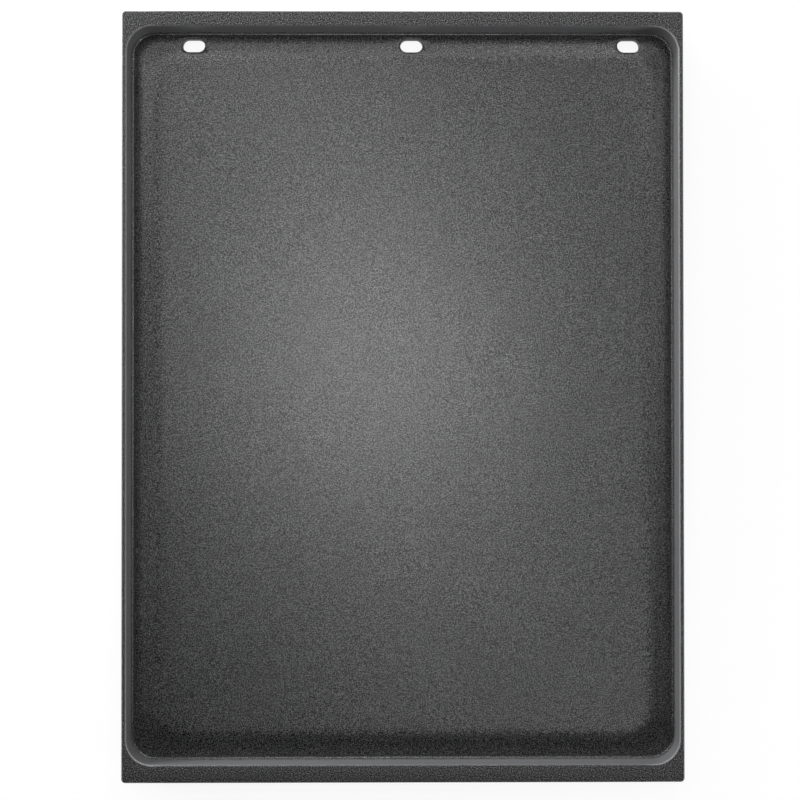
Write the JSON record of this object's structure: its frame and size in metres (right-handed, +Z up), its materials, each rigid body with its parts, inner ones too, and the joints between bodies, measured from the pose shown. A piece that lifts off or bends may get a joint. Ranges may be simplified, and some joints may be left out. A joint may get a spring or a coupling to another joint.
{
  "type": "camp griddle plate",
  "caption": "Rectangular cast-iron griddle plate with a raised rim, end flanges, a flat cooking pad and a sloping grease gutter that drains through slots at the far end.",
  "frame": {"origin": "under the middle of the plate, on the surface that it stands on", "axes": "+Z up, +Y towards the far end with the drain slots, +X to the right"},
  "size_m": [0.35, 0.48, 0.02],
  "materials": {
    "enamelled_iron": "semi-gloss black enamel with a fine pebbled grain"
  },
  "bodies": {
    "root": {"griddle_plate": "enamelled_iron"}
  },
  "joints": []
}
